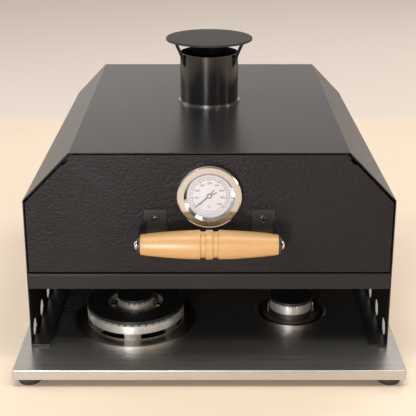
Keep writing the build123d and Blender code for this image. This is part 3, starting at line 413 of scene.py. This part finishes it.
# %% Ticks
ticks = []
for step in range(scale_steps + 1):
    long = step % steps_per_number == 0
    inner = long_tick_inner if long else short_tick_inner
    width = long_tick_width if long else short_tick_width
    ticks.append(tick(scale_angle(step), inner, tick_outer, width))
dial_ticks = joined(ticks, "dial_ticks")
print("ticks:", scale_steps + 1)


# %% [markdown]
# The two circles that hold the ticks are rings. A ring is easiest from a circle that is
# extruded inwards in its own plane, and then given its film thickness.


# %% Circles
def printed_ring(radius, width):
    """A flat ring on the dial."""
    nothing_selected()
    centre = (dial_x, dial_face, dial_z)
    bpy.ops.mesh.primitive_circle_add(vertices=128, radius=radius, fill_type="NOTHING",
                                      location=centre, rotation=(math.radians(90), 0, 0))
    ring = placed(bpy.context.active_object)
    bpy.ops.object.mode_set(mode="EDIT")
    bpy.ops.mesh.select_all(action="SELECT")
    bpy.ops.mesh.extrude_region_move()
    shrink = (radius - width) / radius
    bpy.ops.transform.resize(value=(shrink, 1, shrink), center_override=centre)
    bpy.ops.mesh.select_all(action="SELECT")
    bpy.ops.mesh.extrude_region_move(TRANSFORM_OT_translate={"value": (0, -film, 0)})
    bpy.ops.mesh.select_all(action="SELECT")
    bpy.ops.mesh.normals_make_consistent(inside=False)
    bpy.ops.object.mode_set(mode="OBJECT")
    return ring


circles = [printed_ring(radius, circle_width) for radius in (outer_circle, inner_circle)]
dial_circles = joined(circles, "dial_circles")
print("circles made")


# %% [markdown]
# Numbers are text that is turned into a mesh. Each is centred on its place, so that the
# whole ring of numbers keeps an even distance from the ticks.


# %% Numbers
def printed_text(words, place, height):
    nothing_selected()
    bpy.ops.object.text_add(location=(0, 0, 0))
    text = bpy.context.active_object
    text.data.body = words
    text.data.size = height * size_per_height
    text.data.align_x = "CENTER"
    text.data.align_y = "CENTER"
    text.data.extrude = film / 2
    text.data.offset = height * 0.03
    text.data.resolution_u = 4
    bpy.ops.object.convert(target="MESH")
    text = bpy.context.active_object
    text.rotation_euler = (math.radians(90), 0, 0)
    text.location = place - Vector((0, film / 2, 0))
    return placed(text)


numbers = []
for index in range(scale_steps // steps_per_number + 1):
    degrees = first_number + degrees_per_number * index
    spot = on_dial(scale_angle(steps_per_number * index), number_radius)
    numbers.append(printed_text(str(degrees), spot, number_height))
numbers.append(printed_text("°C", on_dial(math.pi, sign_radius), sign_height))
dial_numbers = joined(numbers, "dial_numbers")
for piece in (dial_ticks, dial_circles, dial_numbers):
    finished(piece, "door")
print("numbers made")

# %% [markdown]
# ## Black paint
#
# The oven's outside is heat-resistant black paint, semi-gloss, with the fine grain that a
# sprayed coat leaves. Paint is not a metal, so it stays a plain dielectric. What makes it look
# like paint is a blurred reflection that changes slightly over the sheet, a grain of one to
# three millimetres in the bump, and a little lighter wear where the cloudiness is strongest.


# %% Black paint
def black_paint(name, colour, rough, grain_scale, grain_depth, shine=0.5):
    """Sprayed paint: a grain in the bump and clouds in the roughness."""
    finish = Finish(name, colour, rough)
    finish.set("Specular IOR Level", shine)
    clouds = finish.noise(9.0, 3.0)
    grain = finish.noise(grain_scale, 2.0, 0.6)
    lighter = tuple(c * 1.6 + 0.002 for c in colour)
    finish.base(finish.mix(finish.between(clouds * 0.6 + grain * 0.4, 0.35, 0.65), colour, lighter))
    finish.set("Roughness", rough + (clouds - 0.5) * 0.05 + (grain - 0.5) * 0.08)
    finish.bump(grain, grain_depth)
    return finish


hood_black = (0.010, 0.0095, 0.0095)
hood_paint = black_paint("hood_paint", hood_black, 0.3, 900.0, 0.00004, 0.28)
door_paint = black_paint("door_paint", (0.0062, 0.0050, 0.0064), 0.42, 300.0, 0.0007, 0.2)
tray_paint = black_paint("tray_paint", (0.0085, 0.0075, 0.0078), 0.4, 700.0, 0.00008, 0.26)
# Painted shade: the rear panel and band in the dark bay get a near-black, shaded copy of the paint.
shaded_back_paint = black_paint("shaded_back_paint", (0.002, 0.002, 0.002), 0.6, 700.0, 0.00008, 0.1)
chimney_paint = black_paint("chimney_paint", (0.005, 0.0046, 0.0052), 0.19, 1100.0, 0.00003)
cap_paint = black_paint("cap_paint", (0.016, 0.0145, 0.0135), 0.5, 420.0, 0.0002, 0.22)
bracket_paint = black_paint("bracket_paint", hood_black, 0.32, 900.0, 0.00005)
black_oxide = black_paint("black_oxide", (0.012, 0.012, 0.012), 0.16, 600.0, 0.00001)
dressed(hood_paint, soft["oven_shell"], soft["foot_strips"])
dressed(shaded_back_paint, soft["rear_panel"], soft["rear_band"])
dressed(door_paint, soft["door_panel"], "door_frame")
dressed(tray_paint, soft["floor_tray"])
dressed(chimney_paint, soft["chimney_tube"], soft["cap_struts"], "strut_rivets")
dressed(cap_paint, soft["chimney_cap"])
dressed(bracket_paint, soft["handle_bracket_left"], soft["handle_bracket_right"])
dressed(bracket_paint, "shell_rivets", "hinge_lugs")
dressed(black_oxide, "bracket_screws", "grip_washers")
print("black paint on the oven")

# %% [markdown]
# ## Brushed stainless steel
#
# The base plate is brushed from side to side. A brushed sheet is a clean mirror that is cut by
# thousands of tiny parallel grooves, so its reflection spreads across the grooves and stays
# sharp along them. Noise stretched along X gives the grooves to the bump and the roughness,
# and a slow noise adds the faint heat tint and finger marks of a used plate.
#
# Two things change over the base plate. It is painted dark under and just round each burner, as
# a painted shadow of the burner, and its front strip is a touch less metallic, so that it takes
# some light of its own there.


# %% Brushed steel
def brushed(name, colour, rough, along, depth, tint=0.0):
    """Metal with fine grooves; along holds the noise scale in X, Y and Z."""
    finish = Finish(name, colour, rough, 1.0)
    grooves = finish.noise(1.0, 3.0, 0.7, finish.stretched(along))
    streaks = finish.noise(1.0, 2.0, 0.5, finish.stretched(tuple(v * 0.15 for v in along)))
    marks = finish.noise(14.0, 4.0, 0.6)
    darker = tuple(c * 0.82 for c in colour)
    warm = (colour[0] * 0.95, colour[1] * 0.86, colour[2] * 0.72)
    finish.base(finish.mix(marks * tint, finish.mix(grooves, darker, colour), warm))
    uneven = (grooves - 0.5) * 0.16 + (streaks - 0.5) * 0.12 + (marks - 0.5) * 0.06
    finish.set("Roughness", rough + uneven)
    finish.bump(grooves * 0.7 + streaks * 0.3, depth)
    return finish


plate_steel = brushed("plate_steel", (0.62, 0.60, 0.58), 0.3, (6.0, 1400.0, 1400.0), 0.00004, 0.25)
pan_steel = brushed("pan_steel", (0.55, 0.55, 0.54), 0.35, (8.0, 900.0, 900.0), 0.00002, 0.1)
zinc_steel = brushed("zinc_steel", (0.62, 0.62, 0.60), 0.36, (300.0, 300.0, 300.0), 0.00001, 0.2)

# %% Changes over the plate
strip_start, strip_end = 0.02, 0.09
strip_metal, plate_metal = 0.91, 0.99
burner_shadow_colour = (0.09, 0.08, 0.07)
plate_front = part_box("base_plate")[0].y
depth = plate_steel.axes()[1]
plate_steel.set("Metallic", plate_steel.between(
    depth, plate_front + strip_start, plate_front + strip_end, strip_metal, plate_metal))
# Painted shadow: the plate is painted dark under and just round each burner.
for cap, radius in (("large_ring_cap", 0.083), ("small_burner_cap", 0.046)):
    away = plate_steel.reach(middle_of(cap))
    burner_shadow = plate_steel.between(away, radius - 0.002, radius + 0.003, 0.8, 0.0)
    plate_steel.base(plate_steel.mix(burner_shadow, plate_steel.current("Base Color"), burner_shadow_colour))
dressed(plate_steel, soft["base_plate"])
dressed(pan_steel, "bottom_pan", "stone_rails")
dressed(zinc_steel, "foot_screws", "foot_nuts", "hinge_rod", "bracket_nuts", "gauge_case",
        "gauge_nut", "inlet_pipe", "large_spindle", "small_spindle", "gauge_stem")
print("steel done")

# %% [markdown]
# ## Cast and turned burner metal
#
# Burner bodies are cast in aluminium and then turned on a lathe, so their walls carry fine
# rings at constant height. The rings are noise that changes quickly with height and hardly at
# all round the wall. Cups and feed pipes keep the duller cast skin.


# %% Burner metal
cast = Finish("turned_aluminium", (0.74, 0.72, 0.69), 0.26, 1.0)
rings = cast.noise(1.0, 2.0, 0.6, cast.stretched((25.0, 25.0, 2600.0)))
skin = cast.noise(420.0, 3.0, 0.6)
smoke = cast.noise(38.0, 3.0, 0.55)
smoked = cast.between(smoke, 0.35, 0.75, 0.0, 0.6)
cast.base(cast.mix(smoked, (0.90, 0.87, 0.84), (0.70, 0.64, 0.57)))
cast.set("Roughness", 0.26 + rings * 0.18 + skin * 0.08)
cast.set("Metallic", 0.86)
cast.bump(rings * 0.6 + skin * 0.4, 0.00003)
dressed(cast, soft["large_burner_ring"], "small_burner_crown")

dull_cast = Finish("dull_casting", (0.18, 0.175, 0.17), 0.45, 1.0)
dull_skin = dull_cast.noise(500.0, 3.0, 0.6)
dull_cast.base(dull_cast.mix(dull_skin, (0.10, 0.10, 0.10), (0.22, 0.21, 0.20)))
dull_cast.set("Roughness", 0.32 + dull_skin * 0.2)
dull_cast.bump(dull_skin, 0.00004)
dressed(dull_cast, "small_burner_cup", "large_feed_pipe", "small_feed_pipe")

# %% [markdown]
# The large cup is painted in three tones. Its well, under the ring, is painted near black as
# painted shade, its flange outside the well is bright, and the posts that carry the ring are of a
# middle grey. The tone is chosen by place: by the distance from the burner's middle for the
# flange, and by the height for the posts.

# %% The large cup
post_foot, post_clear = 0.0242, 0.0252
flange_inner, flange_clear = 0.0640, 0.0645
posts = Finish("cup_posts", (0.5, 0.48, 0.45), 0.35, 1.0)
post_skin = posts.noise(420.0, 3.0, 0.6)
raised = posts.between(posts.axes()[2], post_foot, post_clear)
outside_painted_shade = posts.between(posts.reach(middle_of("large_ring_cap")), flange_inner, flange_clear)
# Painted shade: inside the flange the cup is painted near black.
shaded_well_and_flange = posts.mix(outside_painted_shade, (0.03, 0.029, 0.028), (0.5, 0.47, 0.43))
post_tone = posts.mix(post_skin, (0.40, 0.38, 0.36), (0.52, 0.50, 0.47))
posts.base(posts.mix(raised, shaded_well_and_flange, post_tone))
posts.set("Roughness", 0.3 + post_skin * 0.15)
posts.bump(post_skin, 0.00003)
dressed(posts, "large_burner_cup")
print("burner metal done")

# %% [markdown]
# ## Enamel, brass, chrome and the small finishes
#
# The burner caps wear a thin matt black enamel whose surface is never quite even. Brass and
# polished steel need very little: a colour, a low roughness and fine scratches that catch the
# light.

# %% Enamel
enamel = Finish("cap_enamel", (0.012, 0.012, 0.012), 0.38)
peel = enamel.noise(330.0, 3.0, 0.55)
dust = enamel.noise(1500.0, 1.0)
dusty = enamel.between(dust, 0.62, 0.75)
enamel.base(enamel.mix(dusty, (0.010, 0.010, 0.010), (0.05, 0.048, 0.045)))
enamel.set("Roughness", 0.3 + peel * 0.16)
enamel.bump(peel, 0.00005)
dressed(enamel, "large_ring_cap", "large_inner_cap", "small_burner_cap")


# %% Polished metals
def polished(name, colour, rough):
    """Bright metal with fine scratches."""
    finish = Finish(name, colour, rough, 1.0)
    slanted = finish.stretched((120.0, 900.0, 120.0), (0.3, 0.2, 0.5))
    scratches = finish.noise(1.0, 2.0, 0.6, slanted)
    smears = finish.noise(60.0, 3.0)
    finish.base(finish.mix(smears * 0.3, colour, tuple(c * 0.8 for c in colour)))
    finish.set("Roughness", rough + scratches * 0.07 + smears * 0.04)
    finish.bump(scratches, 0.000006)
    return finish


chrome = polished("polished_steel", (0.56, 0.54, 0.53), 0.05)
brass = polished("turned_brass", (0.78, 0.56, 0.26), 0.2)
dressed(chrome, "gauge_bezel", "grip_screws")
dressed(brass, "inlet_stub", "rail_plug", "large_valve", "small_valve", "burner_jets",
        "gauge_shaft", "ring_screws")

# %% Rubber and plastic
rubber = Finish("foot_rubber", (0.018, 0.018, 0.018), 0.72)
pores = rubber.noise(1400.0, 2.0)
rubber.base(rubber.mix(pores, (0.012, 0.012, 0.012), (0.03, 0.029, 0.028)))
rubber.set("Roughness", 0.62 + pores * 0.2)
rubber.bump(pores, 0.00005)
knob_plastic = Finish("knob_plastic", (0.015, 0.015, 0.016), 0.4)
moulding = knob_plastic.noise(1200.0, 2.0)
knob_plastic.base(knob_plastic.mix(moulding, (0.012, 0.012, 0.013), (0.024, 0.024, 0.025)))
knob_plastic.set("Roughness", 0.36 + moulding * 0.14)
knob_plastic.bump(moulding, 0.00003)
dressed(rubber, "rubber_feet")
dressed(knob_plastic, "large_knob", "small_knob")

# %% [markdown]
# ## The wooden grip
#
# The grip is turned from pale beech and varnished. On a turned piece the growth layers show as
# long flowing bands that close up where the tool has cut deeper, which is what a pattern in
# space does by itself: the bands are sheets in the wood, and the surface cuts through them.
# Short dark flecks along the grain and a clear coat finish it.

# %% Wood
wood = Finish("varnished_beech", (0.80, 0.52, 0.25), 0.36)
sway = wood.noise(1.0, 2.0, 0.5, wood.stretched((7.0, 30.0, 30.0)))
bands = wood.noise(1.0, 1.0, 0.4, wood.stretched((3.0, 190.0, 120.0), (0.0, 0.5, 0.35)), 0.6)
fibres = wood.noise(1.0, 3.0, 0.7, wood.stretched((45.0, 1500.0, 1500.0)))
dots = wood.noise(1.0, 1.0, 0.5, wood.stretched((160.0, 1900.0, 1900.0)))
flecks = wood.between(dots, 0.62, 0.74)
pale = wood.mix(bands, (0.58, 0.37, 0.155), (0.48, 0.27, 0.10))
grained = wood.mix(fibres * 0.35, pale, (0.40, 0.21, 0.075))
wood.base(wood.mix(flecks * 0.35 + sway * 0.12, grained, (0.34, 0.16, 0.06)))
wood.set("Roughness", 0.3 + fibres * 0.18)
wood.set("Coat Weight", 0.25)
wood.set("Coat Roughness", 0.25)
wood.bump(fibres * 0.6 + flecks * -0.4, 0.00003)
dressed(wood, soft["handle_grip"])
print("wood done")

# %% [markdown]
# ## Stone, ceramic, glass and the dial
#
# The baking stone is pressed from ceramic grains, so it is speckled and rough all over. Its
# underside, over the flames, is dark with soot. The electrodes are glazed ceramic that smoke
# has darkened, with a bare metal tip. The glass of the thermometer is thin and flat: a low
# alpha keeps the dial readable, and a low roughness keeps the reflection on it sharp.

# %% Stone
soot_end, clean_start = 0.0008, 0.004
stone = Finish("baking_stone", (0.66, 0.55, 0.41), 0.9)
grains = stone.noise(260.0, 4.0, 0.7)
specks = stone.between(stone.noise(520.0, 1.0), 0.6, 0.7)
toast = stone.between(stone.noise(9.0, 3.0), 0.45, 0.8, 0.0, 0.6)
sand = stone.mix(grains, (0.60, 0.49, 0.36), (0.74, 0.64, 0.50))
speckled = stone.mix(specks * 0.5, sand, (0.30, 0.23, 0.17))
baked = stone.mix(toast, speckled, (0.36, 0.25, 0.15))
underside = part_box("pizza_stone")[0].z
clean = stone.between(stone.axes()[2], underside + soot_end, underside + clean_start)
stone.base(stone.mix(clean, (0.018, 0.016, 0.014), baked))
stone.set("Roughness", 0.82 + grains * 0.14)
stone.bump(grains, 0.0002)
dressed(stone, soft["pizza_stone"])

# %% Ceramic
glaze_end, tip_start = 0.0300, 0.0303
ceramic = Finish("white_ceramic", (0.82, 0.79, 0.73), 0.25)
glaze = ceramic.noise(160.0, 2.0)
ceramic.set("Roughness", 0.18 + glaze * 0.16)
metal_tip = ceramic.between(ceramic.axes()[2], glaze_end, tip_start)
smoky_glaze = ceramic.mix(glaze, (0.10, 0.09, 0.08), (0.05, 0.045, 0.04))
ceramic.base(ceramic.mix(metal_tip, smoky_glaze, (0.85, 0.55, 0.2)))
ceramic.set("Metallic", metal_tip)
dressed(ceramic, "igniters", "flame_sensors")

# %% [markdown]
# The collar closes the joint between the chimney and the roof. Only its lowest part, a thin
# line on the roof, is bare metal. Above it the collar is painted like the rest.

# %% The collar
bare_end, paint_start = 0.0007, 0.0009
collar = Finish("collar_seam", (0.1, 0.1, 0.1), 0.25, 1.0)
collar_dirt = collar.noise(40.0, 2.0)
roof_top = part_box("oven_shell")[1].z
painted = collar.between(collar.axes()[2], roof_top + bare_end, roof_top + paint_start)
bare = collar.mix(collar_dirt, (0.40, 0.37, 0.35), (0.28, 0.26, 0.24))
collar.base(collar.mix(painted, bare, (0.006, 0.006, 0.006)))
collar.set("Roughness", 0.22 + collar_dirt * 0.1)
dressed(collar, "chimney_collar")

# %% Glass and dial
glass = Finish("gauge_glass", (0.98, 0.985, 0.985), 0.03)
glass.set("Alpha", 0.12)
glass.set("IOR", 1.5)
film_marks = glass.noise(70.0, 3.0)
glass.set("Roughness", 0.02 + film_marks * 0.05)
dressed(glass, "gauge_glass")
dial_white = Finish("dial_white", (0.82, 0.81, 0.84), 0.5)
print_grain = dial_white.noise(900.0, 2.0)
dial_white.base(dial_white.mix(print_grain, (0.54, 0.53, 0.60), (0.60, 0.59, 0.65)))
dial_white.set("Roughness", 0.45 + print_grain * 0.1)
dial_ink = Finish("dial_ink", (0.02, 0.02, 0.025), 0.5)
ink_grain = dial_ink.noise(1200.0, 2.0)
dial_ink.base(dial_ink.mix(ink_grain, (0.015, 0.015, 0.02), (0.045, 0.045, 0.05)))
dial_ink.set("Roughness", 0.42 + ink_grain * 0.14)
dressed(dial_white, "gauge_dial")
dressed(dial_ink, dial_ticks, dial_circles, dial_numbers, "gauge_needle")
print("all finishes done")

# %% [markdown]
# ## The floor and the light
#
# The oven stands on a plain pale surface. A wide light hangs above it, a strip in front
# draws the highlights on the grip and the burners, and weaker lights at the sides and a warm
# one in front on the right model the edges. Two more fill the floor behind and in front.

# %% Floor
nothing_selected()
bpy.ops.mesh.primitive_plane_add(size=12, location=(0, 0, 0))
floor = bpy.context.active_object
floor.name = "floor"
floor_finish = Finish("pale_floor", (0.88, 0.73, 0.57), 0.65)
clouds = floor_finish.noise(7.0, 4.0, 0.6)
speckle = floor_finish.noise(420.0, 2.0, 0.7)
uneven = clouds * 0.5 + speckle * 0.5
near_tone = floor_finish.mix(uneven, (0.82, 0.665, 0.505), (0.93, 0.79, 0.63))
near_end, far_start = 0.90, 0.93
far = floor_finish.between(floor_finish.axes()[1], near_end, far_start)
floor_finish.base(floor_finish.mix(far, near_tone, (0.80, 0.71, 0.62)))
floor_finish.bump(speckle, 0.0002)
dressed(floor_finish, floor)


# %% Lights
def soft_light(name, place, size, power, colour=(1.0, 1.0, 1.0), target=(0, -0.1, 0.2)):
    """A rectangular light that faces a point."""
    data = bpy.data.lights.new(name, "AREA")
    data.shape = "RECTANGLE"
    data.size, data.size_y = size
    data.energy = power
    data.color = colour
    lamp = bpy.data.objects.new(name, data)
    lamp.location = place
    lamp.rotation_euler = (Vector(place) - Vector(target)).to_track_quat("Z", "Y").to_euler()
    bpy.context.scene.collection.objects.link(lamp)


soft_light("overhead", (0.0, -0.7, 2.2), (1.8, 0.5), 21.0)
soft_light("front_strip", (-0.55, -2.4, 0.5), (0.3, 0.8), 34.0)
soft_light("left_side", (-2.4, 0.4, 0.9), (1.2, 1.2), 14.0)
soft_light("right_strip", (2.3, -0.6, 0.6), (0.3, 1.0), 6.0)
soft_light("warm_spot", (1.5, -2.2, 0.5), (0.2, 0.6), 7.0, (1.0, 0.7, 0.38))
soft_light("floor_fill", (1.3, 1.5, 2.3), (1.4, 1.4), 20.0, target=(0.8, 0.7, 0))
soft_light("front_fill", (1.5, -0.9, 2.3), (1.2, 1.2), 12.0, target=(0.6, -0.3, 0))

# %% [markdown]
# The sky is what the roof and the slopes mirror. It is brighter behind the oven than in
# front of it and brighter on the left than on the right. It darkens upwards and is a little
# lighter again overhead, which gives the flat black sheets their slow change of tone.

# %% Sky
world = bpy.data.worlds.new("studio")
world.use_nodes = True
bpy.context.scene.world = world
sky = Tree(world.node_tree, "Generated")
across, along, up = sky.axes()
stops = [(0.0, 1.0), (0.14, 0.95), (0.36, 0.8), (0.6, 0.5), (1.0, 0.72)]
greys = [(place, (v, v, v)) for place, v in stops]
level = sky.node("ShaderNodeValToRGB", {"stops": greys}, [up])
background = world.node_tree.nodes["Background"]
side = sky.between(across, -1.0, 1.0)
sky.link(sky.mix(side, (1.0, 0.96, 0.93), (1.0, 0.91, 0.83)), background.inputs["Color"])
front_to_back = sky.between(along, -0.4, 0.4, 0.5, 1.0)
left_to_right = sky.between(across, -0.5, 0.5, 1.4, 0.62)
sky.link(level * front_to_back * left_to_right, background.inputs["Strength"])
bpy.context.scene.view_settings.view_transform = "Standard"
print("lights placed")
